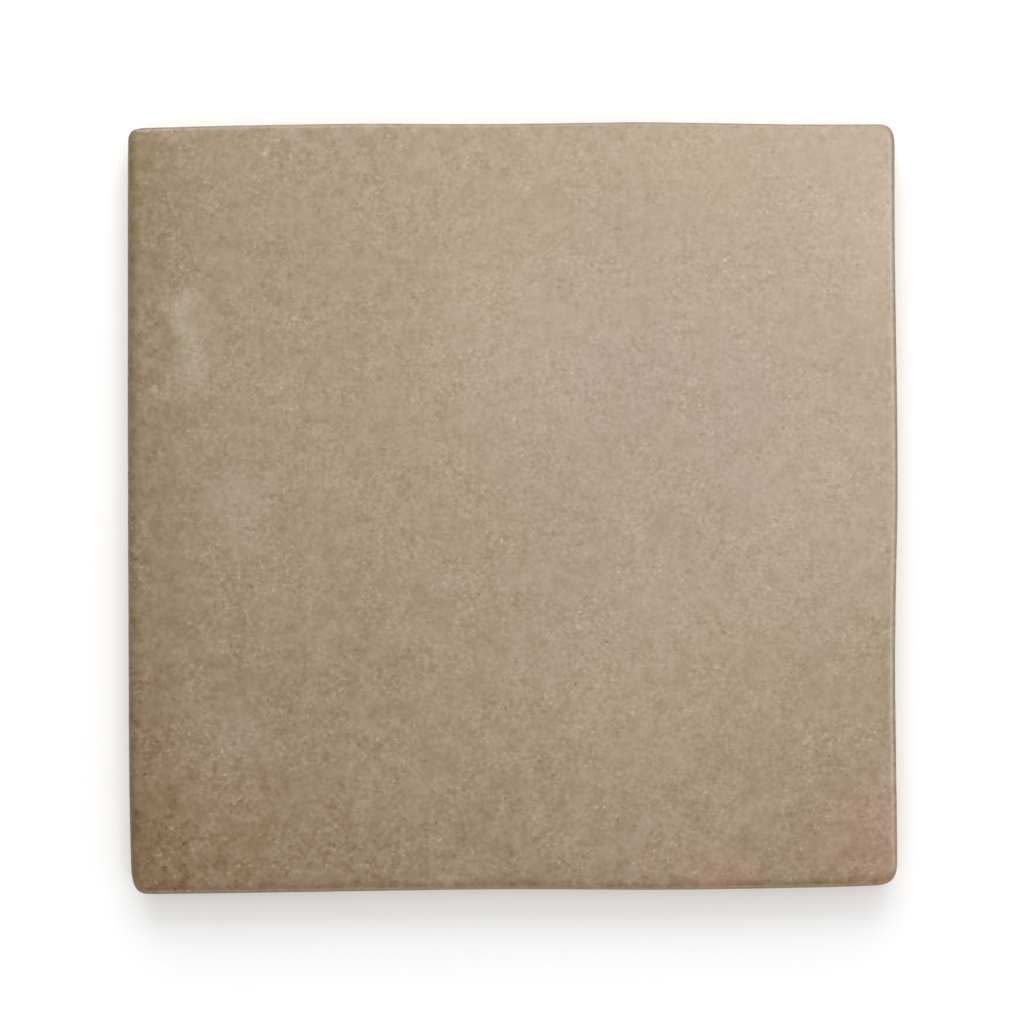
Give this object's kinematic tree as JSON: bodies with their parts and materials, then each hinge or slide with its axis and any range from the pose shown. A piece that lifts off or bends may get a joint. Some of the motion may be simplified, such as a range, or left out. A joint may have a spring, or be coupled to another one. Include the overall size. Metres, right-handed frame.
{
  "type": "ceramic tile",
  "caption": "Square hand-made-look wall tile in matte taupe glaze, with wavy sides, a softly uneven face, rolled rims and a keyed back for tile adhesive.",
  "frame": {"origin": "middle of the back, in the plane that the tile lies on", "axes": "+Z out of the face, +Y to the edge that is uppermost when the tile stands on a wall, +X to the right as one looks at the face"},
  "size_m": [0.1319, 0.1322, 0.009],
  "materials": {
    "glazed_ceramic_body": "matte"
  },
  "bodies": {
    "root": {"tile": "glazed_ceramic_body"}
  },
  "joints": []
}
